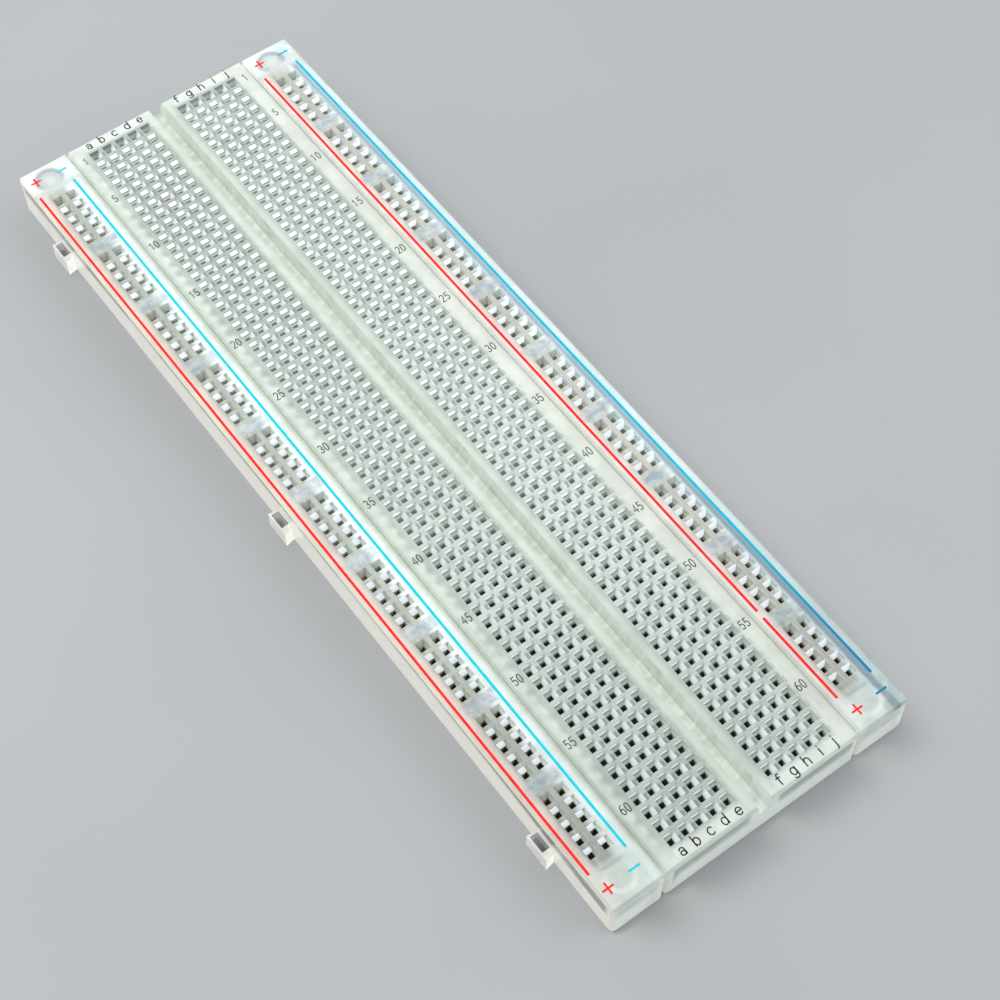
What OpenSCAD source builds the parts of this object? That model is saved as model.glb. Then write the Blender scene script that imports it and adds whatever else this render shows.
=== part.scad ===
// Solderless breadboard, full size: a terminal block between two power rails.
// X runs across the board (column a to column j), Y along it (row 1 at +Y),
// Z up. The origin is the middle of the bottom face the board rests on.

/* [Board] */
// Length of all three modules
board_length = 165.1; // [164.6:0.1:167]
// Width of the terminal block
block_width = 35.6; // [35.4:0.1:36]
// Width of one power rail
rail_width = 9.4; // [9.2:0.1:9.8]
// Height of the plastic housings
housing_h = 7.5; // [7.2:0.1:8.5]
// Gap between neighbouring modules
module_gap = 0.1; // [0.08:0.01:0.2]
// Chamfer along the top edges
chamfer = 0.45; // [0.2:0.05:0.6]
// Radius of the upright corners
corner_r = 0.9; // [0.5:0.1:1.2]

/* [Holes] */
// Pitch of the contact holes
pitch = 2.54; // [2.53:0.01:2.55]
// Rows on the terminal block
rows = 63; // [57:1:63]
// Side of the square lead-in at the top face
lead_width = 1.8; // [1.4:0.05:1.9]
// Side of the square hole where it opens into the contact cell
hole_width = 0.9; // [0.8:0.05:1.1]
// Thickness of the top plate over the contacts
plate_t = 1.3; // [1.1:0.05:1.5]
// Width of a contact cell, across the contact
cell_width = 2.0; // [1.95:0.01:2.02]

/* [Central channel] */
// Width of the channel at the top
channel_top = 2.7; // [2.2:0.1:3.0]
// Width of the channel at its floor
channel_floor = 1.5; // [1.0:0.1:2.0]
// Depth of the channel
channel_depth = 2.6; // [1.5:0.1:3.5]

/* [Contacts] */
// Thickness of the spring metal
metal_t = 0.2; // [0.15:0.01:0.22]
// Width of one spring leaf
leaf_width = 1.3; // [1.2:0.05:1.75]
// Outside width of the contact channel
clip_width = 1.7; // [1.6:0.05:1.75]
// Gap between the two leaves where they pinch a wire
pinch_gap = 0.14; // [0.1:0.02:0.3]

/* [Power rails] */
// Groups of holes on each rail line
groups = 10; // [8:1:10]
// Holes in one group
group_holes = 5; // [5:1:5]
// Distance of the hole lines' centre from the rail's centre
line_offset = -0.3; // [-0.4:0.1:0]
// Distance of each blind screw boss from the middle of the board
boss_y = 78.7; // [78.6:0.1:79]
// Outside diameter of a screw boss
boss_d = 2.8; // [2.4:0.1:3]
// Bore of a screw boss
boss_bore = 1.6; // [1.4:0.1:1.8]
// Radius of the pocket around a boss
pocket_r = 3.2; // [2.9:0.1:3.3]

/* [Joining lugs] */
// Distance of the outer lugs from the middle one
lug_pitch = 67.2; // [66:0.1:68]
// Length of a lug where it meets the wall
lug_root = 4.1; // [3.8:0.1:4.4]
// Length of a lug at its outer face
lug_tip = 4.8; // [4.5:0.1:5]
// How far a lug stands out
lug_out = 1.6; // [1.3:0.1:1.6]
// Height of a lug
lug_h = 3.2; // [2.5:0.1:3.5]
// Clearance round a lug in its slot
lug_gap = 0.1; // [0.06:0.01:0.15]

/* [Adhesive backing] */
// Thickness of the foam tape
foam_t = 0.9; // [0.6:0.1:1.2]
// Thickness of the release liner
liner_t = 0.1; // [0.08:0.01:0.15]
// Inset of the tape from the edges
tape_inset = 0.4; // [0.2:0.1:1]

/* [Hidden] */
// Levels
base_z = liner_t + foam_t;      // underside of the housings
top_z = base_z + housing_h;     // top face
ceiling_z = top_z - plate_t;    // ceiling of the contact cells
rib_z = base_z + 1.6;           // lower edge of the ribs between cells
clip_z = base_z + 0.05;         // underside of the contacts
pinch_z = ceiling_z - 1.7;      // where the leaves pinch
leaf_top_z = ceiling_z - 0.35;  // flared tips of the leaves

// Overlaps of the cutters
over = 1;     // past an open face
join = 0.1;   // into a neighbouring cut
eps = 0.02;   // past the top face and end walls

// Hole layout
cell_length = leaf_width + 0.2;      // one cell, along the contact
span5 = 4*pitch;                     // first to last of five holes
half_row_x = 1.5*pitch + span5/2;    // centre of a half row
first_row_y = (rows - 1)/2*pitch;
row_ys = [for (r = [0:rows - 1]) first_row_y - r*pitch];
group_pitch = 6*pitch;
line_length = (groups - 1)*group_pitch + span5;
rail_ys = [for (g = [0:groups - 1]) for (i = [0:group_holes - 1])
    (g - (groups - 1)/2)*group_pitch + (i - (group_holes - 1)/2)*pitch];
rows_per_node = 7;
rail_x = block_width/2 + module_gap + rail_width/2;

// Joining lugs
lug_embed = 0.3;       // into the wall
slot_headroom = 0.2;   // above a lug in its slot

// Plastic left above the hollows
pocket_roof = 1.0;
hollow_roof = 1.5;     // also above the boss bores
side_core_roof = 3;

// Hollows in the terminal block
end_hollow = [12, 1.3];
end_hollow_out = 2.25;        // from the last row to its centre
side_core = [0.9, 1.0];
side_core_out = 1.95;         // from column a to its centre
channel_hollow_width = 2.6;
channel_hollow_end = 3;       // from the end of the block

// Long hollows in a rail: width, and distance from the side face to the centre
lug_side_hollow = [0.6, 1.3];
slot_side_hollow = [1.0, 1.5];
slot_hollow_end = 4;          // from each slot's centre

// Contacts
leaf_tip_inset = 0.2;
leaf_root_t = clip_width/2 - metal_t*1.05;   // inner half width at the leaf's root
leaf_gap_width = 4;                          // leaf cutter, across the contact

// Tape
notch_margin = 0.5;    // notch past the lug's tip and past the edge
notch_side = 0.4;      // notch past each side of the lug
tape_boss_d = 4;

housing_color = [0.88, 0.92, 0.90, 0.8];
spring_color = [0.66, 0.65, 0.60];
foam_color = [0.95, 0.95, 0.92];
paper_color = [0.93, 0.90, 0.80];

// Extrudes an X-Z outline along Y
module along_y(len) rotate([90, 0, 0]) linear_extrude(height = len, center = true) children();
// Extrudes a Y-Z outline along X
module along_x(len) rotate([90, 0, 90]) linear_extrude(height = len, center = true) children();

// Box centred in X and Y, between two levels
module box(size_x, size_y, low, high)
    translate([-size_x/2, -size_y/2, low]) cube([size_x, size_y, high - low]);

// Box cutter open at the underside of a housing
module core(size_x, size_y, depth) box(size_x, size_y, base_z - over, base_z + depth);

// Square contact hole that tapers from the top face to the cell
module contact_hole() {
    low = hole_width/2;
    high = lead_width/2;
    slope = (high - low)/plate_t;
    low_x = low - slope*join;
    high_x = high + slope*eps;
    outline = [[-low_x, ceiling_z - join], [low_x, ceiling_z - join],
        [high_x, top_z + eps], [-high_x, top_z + eps]];
    intersection() {
        along_y(lead_width + 1) polygon(outline);
        along_x(lead_width + 1) polygon(outline);
    }
}

// Contact cell with its hole
module cell(size_x, size_y) {
    box(size_x, size_y, rib_z - join, ceiling_z);
    contact_hole();
}

// Cutter that rounds one upright corner; the sides are signs that point at it
module corner_cut(x, y, side_x, side_y) translate([x, y, 0]) difference() {
    translate([side_x > 0 ? -corner_r : -over, side_y > 0 ? -corner_r : -over, base_z - over])
        cube([corner_r + over, corner_r + over, housing_h + 2*over]);
    translate([-side_x*corner_r, -side_y*corner_r, base_z - 2*over])
        cylinder(r = corner_r, h = housing_h + 4*over, $fn = 48);
}

// Cutter for the chamfer along an end's top edge
module end_chamfer(width, end) along_x(width + 2*over) polygon([
    [end*(board_length/2 - chamfer), top_z + eps],
    [end*(board_length/2 + over), top_z + eps],
    [end*(board_length/2 + over), top_z - chamfer - over - eps],
    [end*(board_length/2 + eps), top_z - chamfer - eps]]);

// Three dovetail lugs on a wall at x, standing out towards -X.
// With a gap they are the cutters for the slots.
module lugs(x, gap = 0, headroom = 0) {
    below = gap > 0 ? over : 0;
    root = lug_root/2 + gap;
    tip = lug_tip/2 + gap;
    out = lug_out + gap;
    for (k = [-1:1]) translate([x, k*lug_pitch, base_z - below])
        linear_extrude(height = lug_h + headroom + below)
            polygon([[lug_embed, -root], [lug_embed, root], [0, root],
                [-out, tip], [-out, -tip], [0, -root]]);
}

// Housing with lugs on its -X side and slots on its +X side, less its children.
// groove lists outline points along the top face, from -X to +X.
module housing(width, groove = []) {
    half = width/2;
    difference() {
        union() {
            along_y(board_length) polygon(concat(
                [[-half, base_z], [-half, top_z - chamfer], [-half + chamfer, top_z]],
                groove,
                [[half - chamfer, top_z], [half, top_z - chamfer], [half, base_z]]));
            lugs(-half);
        }
        for (end = [-1, 1]) {
            end_chamfer(width, end);
            for (side = [-1, 1]) corner_cut(side*half, end*board_length/2, side, end);
        }
        lugs(half, lug_gap, slot_headroom);
        children();
    }
}

// Cutter for a half row: five cells over a trench
module half_row() {
    core(span5 + cell_length, cell_width, rib_z - base_z);
    for (i = [-2:2]) translate([i*pitch, 0, 0]) cell(cell_length, cell_width);
}

module terminal_block_housing() color(housing_color) {
    floor_z = top_z - channel_depth;
    groove = [[-channel_top/2, top_z], [-channel_floor/2, floor_z],
        [channel_floor/2, floor_z], [channel_top/2, top_z]];
    housing(block_width, groove) {
        for (y = row_ys) for (side = [-1, 1]) translate([side*half_row_x, y, 0]) half_row();
        // hollows behind the end walls
        for (side = [-1, 1]) for (end = [-1, 1])
            translate([side*half_row_x, end*(first_row_y + end_hollow_out), 0])
                core(end_hollow[0], end_hollow[1], housing_h - hollow_roof);
        // small core holes beside column a
        for (y = row_ys) translate([-half_row_x - span5/2 - side_core_out, y, 0])
            core(side_core[0], side_core[1], housing_h - side_core_roof);
        // hollow under the channel
        core(channel_hollow_width, board_length - 2*channel_hollow_end,
            housing_h - channel_depth - 1.0);
    }
}

// Cutter for one line of rail holes
module rail_line() {
    core(cell_width, line_length + cell_length, rib_z - base_z);
    for (y = rail_ys) translate([0, y, 0]) cell(cell_width, cell_length);
}

// Cutter for the pocket round a screw boss, squared off towards the middle
// of the board, and for the boss's bore
module boss_cut(end) {
    difference() {
        union() {
            translate([0, 0, base_z - over])
                cylinder(r = pocket_r, h = housing_h - pocket_roof + over, $fn = 64);
            translate([0, -end*(pocket_r + join)/2, 0])
                core(2*pocket_r, pocket_r + join, housing_h - pocket_roof);
        }
        translate([0, 0, base_z]) cylinder(d = boss_d, h = housing_h + over, $fn = 48);
    }
    translate([0, 0, base_z - over])
        cylinder(d = boss_bore, h = housing_h - hollow_roof + over, $fn = 48);
}

// Power rail centred on x
module rail_housing(x) translate([x, 0, 0]) color(housing_color) housing(rail_width) {
    for (side = [-1, 1]) translate([line_offset + side*pitch/2, 0, 0]) rail_line();
    for (end = [-1, 1]) translate([line_offset, end*boss_y, 0]) boss_cut(end);
    // long hollows inside the side walls
    translate([-rail_width/2 + lug_side_hollow[1], 0, 0])
        core(lug_side_hollow[0], line_length, housing_h - hollow_roof);
    for (end = [-1, 1])
        translate([rail_width/2 - slot_side_hollow[1], end*lug_pitch/2, 0])
            core(slot_side_hollow[0], lug_pitch - 2*slot_hollow_end, housing_h - hollow_roof);
}
module left_rail_housing() rail_housing(-rail_x);
module right_rail_housing() rail_housing(rail_x);

// Outline of a contact: a floor and two leaves that lean in, pinch and flare
// out again to a sharp tip. Each leaf runs up its outside and down its inside.
function leaf(side) = [
    [side*clip_width/2, clip_z],
    [side*(pinch_gap/2 + metal_t), pinch_z],
    [side*(clip_width/2 - leaf_tip_inset), leaf_top_z],
    [side*pinch_gap/2, pinch_z],
    [side*leaf_root_t, clip_z + metal_t]];
clip_outline = concat(leaf(-1), [for (i = [4:-1:0]) leaf(1)[i]]);

// Cutter between two neighbouring leaves
module leaf_gap(size_x, size_y) box(size_x, size_y, rib_z - join, top_z);

// One five-hole contact
module terminal_contact() difference() {
    along_x(span5 + leaf_width) polygon(clip_outline);
    for (i = [-1.5:1:1.5]) translate([i*pitch, 0, 0])
        leaf_gap(pitch - leaf_width, leaf_gap_width);
}

// Contacts of one node's rows; side is -1 for columns a to e, 1 for f to j
module contact_block(side, first) color(spring_color)
    for (r = [first:min(first + rows_per_node - 1, rows)])
        translate([side*half_row_x, row_ys[r - 1], 0]) terminal_contact();

// Contact strip of one rail line; side is its side of the rail
module rail_strip(x, side) translate([x + line_offset + side*pitch/2, 0, 0])
    color(spring_color) difference() {
        along_y(line_length + leaf_width) polygon(clip_outline);
        for (k = [0:len(rail_ys) - 2])
            translate([0, (rail_ys[k] + rail_ys[k + 1])/2, 0])
                leaf_gap(leaf_gap_width, rail_ys[k + 1] - rail_ys[k] - leaf_width);
    }

// Foam tape and liner share one outline: a rectangle notched under the slots,
// with holes round the screw bosses on the rails
module tape(width, z, thick, bosses) difference() {
    box(width - 2*tape_inset, board_length - 2*tape_inset, z, z + thick);
    for (k = [-1:1]) translate([width/2 - lug_out/2, k*lug_pitch, 0])
        box(lug_out + 2*notch_margin, lug_tip + 2*notch_side, z - over, z + thick + over);
    if (bosses) for (end = [-1, 1]) translate([line_offset, end*boss_y, z - over])
        cylinder(d = tape_boss_d, h = thick + 2*over, $fn = 48);
}
module foam_pad(x, width, bosses) color(foam_color)
    translate([x, 0, 0]) tape(width, liner_t, foam_t, bosses);
module liner(x, width, bosses) color(paper_color)
    translate([x, 0, 0]) tape(width, 0, liner_t, bosses);

terminal_block_housing();
left_rail_housing();
right_rail_housing();
contact_block(-1, 1);  // contacts_a_e_rows_01_07
contact_block(-1, 8);  // contacts_a_e_rows_08_14
contact_block(-1, 15);  // contacts_a_e_rows_15_21
contact_block(-1, 22);  // contacts_a_e_rows_22_28
contact_block(-1, 29);  // contacts_a_e_rows_29_35
contact_block(-1, 36);  // contacts_a_e_rows_36_42
contact_block(-1, 43);  // contacts_a_e_rows_43_49
contact_block(-1, 50);  // contacts_a_e_rows_50_56
contact_block(-1, 57);  // contacts_a_e_rows_57_63
contact_block(1, 1);  // contacts_f_j_rows_01_07
contact_block(1, 8);  // contacts_f_j_rows_08_14
contact_block(1, 15);  // contacts_f_j_rows_15_21
contact_block(1, 22);  // contacts_f_j_rows_22_28
contact_block(1, 29);  // contacts_f_j_rows_29_35
contact_block(1, 36);  // contacts_f_j_rows_36_42
contact_block(1, 43);  // contacts_f_j_rows_43_49
contact_block(1, 50);  // contacts_f_j_rows_50_56
contact_block(1, 57);  // contacts_f_j_rows_57_63
rail_strip(-rail_x, -1);  // left_plus_strip
rail_strip(-rail_x, 1);  // left_minus_strip
rail_strip(rail_x, -1);  // right_plus_strip
rail_strip(rail_x, 1);  // right_minus_strip
foam_pad(0, block_width, false);  // block_foam_pad
foam_pad(-rail_x, rail_width, true);  // left_rail_foam_pad
foam_pad(rail_x, rail_width, true);  // right_rail_foam_pad
liner(0, block_width, false);  // block_release_liner
liner(-rail_x, rail_width, true);  // left_rail_release_liner
liner(rail_x, rail_width, true);  // right_rail_release_liner
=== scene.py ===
"""Clear solderless breadboard: a terminal block with a power rail on each side.

The board lies flat on the floor, top face up (+Z). Its long side runs along Y, the near end is
at -Y, the left rail at -X and the right rail at +X. Materials and printed marks are worked out
in millimetres; noise scales, bump distances and bevel radii are in metres.
"""
import bpy, bmesh, math
from mathutils import Vector, Matrix


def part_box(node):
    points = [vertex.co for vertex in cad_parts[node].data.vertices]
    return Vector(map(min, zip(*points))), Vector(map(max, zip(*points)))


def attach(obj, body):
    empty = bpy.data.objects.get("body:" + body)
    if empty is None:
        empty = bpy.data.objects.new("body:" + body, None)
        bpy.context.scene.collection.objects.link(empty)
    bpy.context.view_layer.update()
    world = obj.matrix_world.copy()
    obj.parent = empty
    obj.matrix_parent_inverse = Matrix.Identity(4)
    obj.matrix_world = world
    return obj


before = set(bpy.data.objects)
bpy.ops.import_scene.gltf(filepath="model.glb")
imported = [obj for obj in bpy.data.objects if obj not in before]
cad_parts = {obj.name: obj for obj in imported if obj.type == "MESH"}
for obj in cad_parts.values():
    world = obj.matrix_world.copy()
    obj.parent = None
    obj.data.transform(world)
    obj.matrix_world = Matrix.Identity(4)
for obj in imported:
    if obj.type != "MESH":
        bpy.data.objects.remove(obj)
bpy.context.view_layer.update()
scene = bpy.context.scene

# ---------------------------------------------------------------- sizes, mm
MM = 0.001
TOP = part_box("terminal_block_housing")[1].z          # top face of the housings, in metres
TOP_MM = TOP / MM
PITCH = 2.54                                         # between neighbouring holes
HALF_PITCH = PITCH / 2
GROUP_PITCH = 6 * PITCH                              # between groups of rail holes
HALF_GROUP = GROUP_PITCH / 2
RAIL_X = 22.6                                        # middle of a rail housing
HOLES_OFF = 0.3                                      # rail holes lie this far to -X of it
RAIL_HALF, BLOCK_HALF = 4.7, 17.8                    # half widths of the housings
RAIL_END, BLOCK_END = 76.0, 79.75                    # the holes end here along Y
COLUMNS = ([-(5.5 - k) * PITCH for k in range(5)]    # hole columns a to e, then f to j
           + [(1.5 + k) * PITCH for k in range(5)])
RAIL_HOLES = [(g - 4.5) * GROUP_PITCH + (k - 2) * PITCH for g in range(10) for k in range(5)]

# ---------------------------------------------------------------- shader helpers
WIDE, MIDDLE = (0.3, 0.7), (0.35, 0.65)              # parts of a noise's range that a ramp uses
FALL = (1.0, 0.0)                                    # ramp output that goes down
STEEP, GRAZING = (0.76, 0.90), (0.06, 0.38)          # upward part of the view direction
EDGE_RADIUS = 0.00006

PRINCIPLED = dict(color="Base Color", rough="Roughness", normal="Normal", ior="IOR",
                  metal="Metallic", clear="Transmission Weight", specular="Specular IOR Level",
                  glow="Emission Color", power="Emission Strength")


def rgba(value):
    """A number or an RGB triple as an opaque colour."""
    return (*(value if isinstance(value, tuple) else (value,) * 3), 1)


def srgb(*display):
    """Display colour 0..255 to a linear one."""
    return tuple(c / 12.92 if c <= 0.04045 else ((c + 0.055) / 1.055) ** 2.4
                 for c in (d / 255 for d in display))


def tones(*rows):
    """Colour stops from rows of (place in mm, red, green, blue), as display colours."""
    return [(place, srgb(*color)) for place, *color in rows]


class Shader:
    """A new material, with short calls that add nodes. Values are sockets or constants."""
    def __init__(self, name):
        self.material = bpy.data.materials.new(name)
        self.material.use_nodes = True
        self.tree = self.material.node_tree
        self.tree.nodes.clear()
        self.output = self.tree.nodes.new("ShaderNodeOutputMaterial")

    def feed(self, socket, value):
        if isinstance(value, bpy.types.NodeSocket):
            self.tree.links.new(value, socket)
        else:
            socket.default_value = rgba(value) if isinstance(value, tuple) else value

    def node(self, kind, **settings):
        """Each setting is an input if the node has one of that name, else a property."""
        node = self.tree.nodes.new("ShaderNode" + kind)
        for key, value in settings.items():
            if key in node.inputs.keys():
                self.feed(node.inputs[key], value)
            else:
                setattr(node, key, value)
        return node

    def coords(self, stretch=1.0):
        scale = stretch if isinstance(stretch, tuple) else (stretch,) * 3
        place = self.node("TexCoord").outputs["Object"]
        mapping = self.node("Mapping", Vector=place)
        mapping.inputs["Scale"].default_value = scale
        return mapping.outputs["Vector"]

    def separate(self, vector):
        return self.node("SeparateXYZ", Vector=vector).outputs

    def mm(self):
        """x, y and z in millimetres."""
        return self.separate(self.coords(1000.0))

    def noise(self, scale, detail=3.0, rough=0.5, vec=None, stretch=1.0):
        vec = vec or self.coords(stretch)
        return self.node("TexNoise", Vector=vec, Scale=scale, Detail=detail,
                         Roughness=rough).outputs["Fac"]

    def map_range(self, value, span, to=(0.0, 1.0), **settings):
        node = self.node("MapRange", Value=value, **settings)
        for key, number in zip(("From Min", "From Max", "To Min", "To Max"), (*span, *to)):
            node.inputs[key].default_value = number
        return node.outputs["Result"]

    def ramp(self, value, span, to=(0.0, 1.0)):
        """Smooth change from to[0] to to[1] while value crosses span."""
        return self.map_range(value, span, to, interpolation_type="SMOOTHSTEP")

    def band(self, value, rise, fall):
        """1 between the spans rise and fall, with soft ends."""
        return self.times(self.ramp(value, rise), self.ramp(value, fall, FALL))

    def color_along(self, value, stops):
        """Colour or number that changes with value, from (place, colour) stops."""
        first, last = stops[0][0], stops[-1][0]
        node = self.node("ValToRGB", Fac=self.map_range(value, (first, last)))
        elements = node.color_ramp.elements
        while len(elements) < len(stops):
            elements.new(0.5)
        for element, (place, color) in zip(elements, stops):
            element.position = (place - first) / (last - first)
            element.color = rgba(color)
        return node.outputs["Color"]

    def mix(self, share, a, b, blend="MIX"):
        node = self.node("Mix", data_type="RGBA", blend_type=blend)
        for index, value in ((0, share), (6, a), (7, b)):
            self.feed(node.inputs[index], value)
        return node.outputs[2]

    def math(self, kind, *values):
        node = self.node("Math", operation=kind)
        for socket, value in zip(node.inputs, values):
            self.feed(socket, value)
        return node.outputs[0]

    def times(self, first, *factors):
        for factor in factors:
            first = self.math("MULTIPLY", first, factor)
        return first

    def plus(self, a, b):
        return self.math("ADD", a, b)

    def minus(self, a, b):
        return self.math("SUBTRACT", a, b)

    def abs(self, value):
        return self.math("ABSOLUTE", value)

    def add(self, base, extra, gain):
        """base + extra * gain."""
        return self.math("MULTIPLY_ADD", extra, gain, base)

    def distance(self, dx, dy):
        return self.math("SQRT", self.plus(self.times(dx, dx), self.times(dy, dy)))

    def wrap(self, value, half, shift=0.0):
        return self.math("WRAP", value, half + shift, -half + shift)

    def local(self, axis, shift=0.0):
        """Signed distance from the nearest hole centre along one axis."""
        return self.minus(self.wrap(self.mm()[axis], HALF_PITCH, shift), shift)

    def upright(self, value):
        """Makes a line on a sloping wall look upright from above."""
        z = self.mm()[2]
        return self.minus(value, self.times(self.minus(TOP_MM, z), 0.36))

    def geometry(self, output):
        return self.separate(self.node("NewGeometry").outputs[output])

    def view(self, span, low, high):
        """low to high as the view gets steeper, over STEEP or GRAZING."""
        return self.ramp(self.geometry("Incoming")[2], span, (low, high))

    def bevel(self, radius):
        return self.node("Bevel", samples=4, Radius=radius).outputs["Normal"]

    def bump(self, height, distance, strength, normal=None):
        node = self.node("Bump", Height=height, Distance=distance, Strength=strength)
        if normal is not None:
            self.feed(node.inputs["Normal"], normal)
        return node.outputs["Normal"]

    def edges(self, radius=EDGE_RADIUS):
        """1 on sharp edges, 0 on flats: how far the bevelled normal leans from the true one."""
        dot = self.node("VectorMath", operation="DOT_PRODUCT")
        self.feed(dot.inputs[0], self.bevel(radius))
        self.feed(dot.inputs[1], self.node("NewGeometry").outputs["Normal"])
        return self.ramp(dot.outputs["Value"], (0.99, 0.80))

    def wear(self, radius=EDGE_RADIUS):
        """Shared by the plastics: flow waviness, long light scratches, and a normal with both."""
        vec = self.coords()
        slow = self.noise(85.0, 2.0, vec=vec)
        fine = self.noise(2400.0, vec=vec)
        along = self.noise(1500.0, 4.0, rough=0.7, stretch=(1.0, 0.05, 1.0))
        across = self.noise(1100.0, 4.0, rough=0.7, stretch=(0.09, 1.3, 1.0))
        scratch = self.math("MAXIMUM", self.ramp(along, (0.63, 0.72)),
                            self.ramp(across, (0.65, 0.74)))
        normal = self.bump(slow, distance=0.00020, strength=0.25, normal=self.bevel(radius))
        normal = self.bump(fine, distance=0.000010, strength=0.35, normal=normal)
        normal = self.bump(scratch, distance=0.000006, strength=0.5, normal=normal)
        return slow, scratch, normal

    def polish(self, slow, scratch, low, high, edge=None):
        """Roughness from low to high, more in scratches and on rubbed edges."""
        rough = self.add(self.ramp(slow, WIDE, (low, high)), scratch, 0.15)
        return rough if edge is None else self.add(rough, edge, 0.20)

    def rub(self, edge, color, strength, pale):
        """Painted highlight: paler colour on the edges."""
        return self.mix(self.ramp(edge, (0.2, 1.0), (0.0, strength)), color, pale)

    def principled(self, **inputs):
        node = self.node("BsdfPrincipled")
        for key, value in inputs.items():
            self.feed(node.inputs[PRINCIPLED[key]], value)
        return node.outputs[0]

    def blend(self, share, a, b):
        node = self.node("MixShader")
        for socket, value in zip(node.inputs, (share, a, b)):
            self.feed(socket, value)
        return node.outputs[0]

    def surface(self, shader):
        self.feed(self.output.inputs["Surface"], shader)
        return self.material

    def light_pass(self, shader, amount=1.0):
        """Lets shadow and diffuse rays through, so light reaches what lies behind."""
        rays = self.node("LightPath").outputs
        share = self.times(
            self.math("MAXIMUM", rays["Is Shadow Ray"], rays["Is Diffuse Ray"]), amount)
        through = self.node("BsdfTransparent", Color=(0.94, 0.96, 0.94)).outputs[0]
        return self.surface(self.blend(share, shader, through))


# ---------------------------------------------------------------- tones along X
# Rows are (x in mm, display red, green, blue). Sides are -1 left rail, 0 block, 1 right rail.
# the tones paint the top as it looks, so their darker bands are painted shade of the hollows below
TOP_TONES = {
    0: tones((-17.8, 202, 216, 202), (-17.3, 212, 226, 210), (-16.2, 212, 225, 213),
             (-15.6, 194, 206, 194), (-15.2, 192, 205, 192), (-14.7, 190, 199, 193),
             (-3.2, 190, 199, 193), (-2.7, 203, 215, 202), (-2.2, 218, 228, 216),
             (-1.5, 206, 219, 205), (1.5, 210, 222, 210), (2.0, 208, 220, 207),
             (2.5, 196, 206, 197), (3.0, 196, 205, 199), (14.5, 199, 208, 202),
             (15.1, 226, 233, 225), (16.2, 226, 232, 222), (17.4, 218, 223, 211),
             (17.8, 220, 223, 213)),
    -1: tones((-27.4, 240, 236, 222), (-26.95, 228, 224, 205), (-26.1, 232, 216, 206),
              (-25.6, 217, 210, 199), (-25.2, 192, 188, 177), (-24.9, 178, 176, 165),
              (-24.5, 192, 192, 182), (-24.15, 205, 206, 198), (-23.9, 186, 192, 180),
              (-22.8, 190, 194, 184), (-22.4, 186, 190, 180), (-22.0, 206, 214, 208),
              (-21.4, 220, 230, 226), (-20.6, 234, 244, 241), (-20.2, 238, 249, 248),
              (-19.4, 236, 248, 245), (-18.9, 230, 242, 233), (-18.4, 206, 215, 203),
              (-17.9, 214, 222, 208)),
    1: tones((17.9, 222, 225, 216), (18.4, 234, 234, 226), (19.5, 231, 221, 212),
             (19.9, 220, 212, 202), (20.4, 188, 186, 176), (20.8, 200, 200, 190),
             (21.2, 210, 212, 204), (21.6, 192, 196, 186), (21.9, 202, 204, 196),
             (22.3, 192, 196, 188), (22.7, 204, 206, 198), (23.0, 194, 198, 190),
             (23.5, 212, 216, 208), (24.0, 222, 235, 235), (24.4, 206, 221, 224),
             (24.9, 160, 179, 188), (25.3, 168, 189, 199), (25.5, 184, 204, 212),
             (26.2, 216, 236, 237), (26.7, 218, 236, 235), (27.4, 218, 236, 233)),
}
# Tones of the solid margins past the holes, at the near (-Y) and the far (+Y) end.
NEAR_TONES = {
    0: tones((-17.8, 216, 228, 217), (-15.0, 232, 241, 231), (0.0, 226, 235, 226),
             (15.0, 231, 239, 230), (17.8, 218, 228, 217)),
    -1: tones((-27.4, 224, 226, 214), (-25.2, 208, 214, 206), (-21.0, 212, 226, 219),
              (-19.0, 226, 238, 230), (-17.9, 214, 226, 215)),
    1: tones((17.9, 228, 236, 228), (19.0, 226, 235, 227), (20.3, 212, 220, 216),
             (22.5, 205, 215, 211), (24.3, 192, 206, 205), (25.2, 136, 160, 168),
             (26.0, 176, 198, 200), (27.4, 196, 212, 210)),
}
FAR_TONES = {
    -1: tones((-27.4, 236, 234, 226), (-24.5, 236, 238, 232), (-19.0, 226, 236, 231),
              (-17.9, 218, 228, 220)),
    1: tones((17.9, 236, 240, 235), (20.5, 232, 238, 234), (24.0, 226, 236, 233),
             (25.2, 206, 222, 222), (27.4, 214, 227, 227)),
}
CHANNEL_TONES = tones((-1.5, 200, 214, 200), (-1.2, 206, 218, 204), (-0.6, 200, 212, 198),
                      (0.0, 186, 196, 184), (0.5, 186, 196, 185), (1.0, 202, 214, 201),
                      (1.4, 216, 226, 214))
# Milky share of the top face: (x in mm, share).
HAZE = {
    0: [(-17.8, 0.88), (-15.3, 0.85), (-14.8, 0.72), (-3.1, 0.72), (-2.4, 0.88), (2.2, 0.88),
        (3.1, 0.72), (14.6, 0.72), (15.2, 0.85), (17.8, 0.88)],
    -1: [(-27.4, 0.9), (-25.4, 0.86), (-25.0, 0.68), (-22.2, 0.68), (-21.4, 0.88), (-17.9, 0.9)],
    1: [(17.9, 0.9), (19.8, 0.88), (20.2, 0.68), (23.4, 0.68), (24.2, 0.86), (27.4, 0.9)],
}
# Brightness over the holes, raised by the light caught in the ribs: (y in mm, factor).
RAIL_LIFT = [(-84.0, 1.0), (-66.0, 1.0), (-37.0, 1.24), (0.0, 1.24), (36.0, 1.16), (80.0, 1.14)]
BLOCK_LIFT = [(-84.0, 1.16), (-66.0, 1.25), (-37.0, 1.38), (0.0, 1.24), (36.0, 1.02),
              (67.0, 0.97), (80.0, 1.0)]


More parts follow.
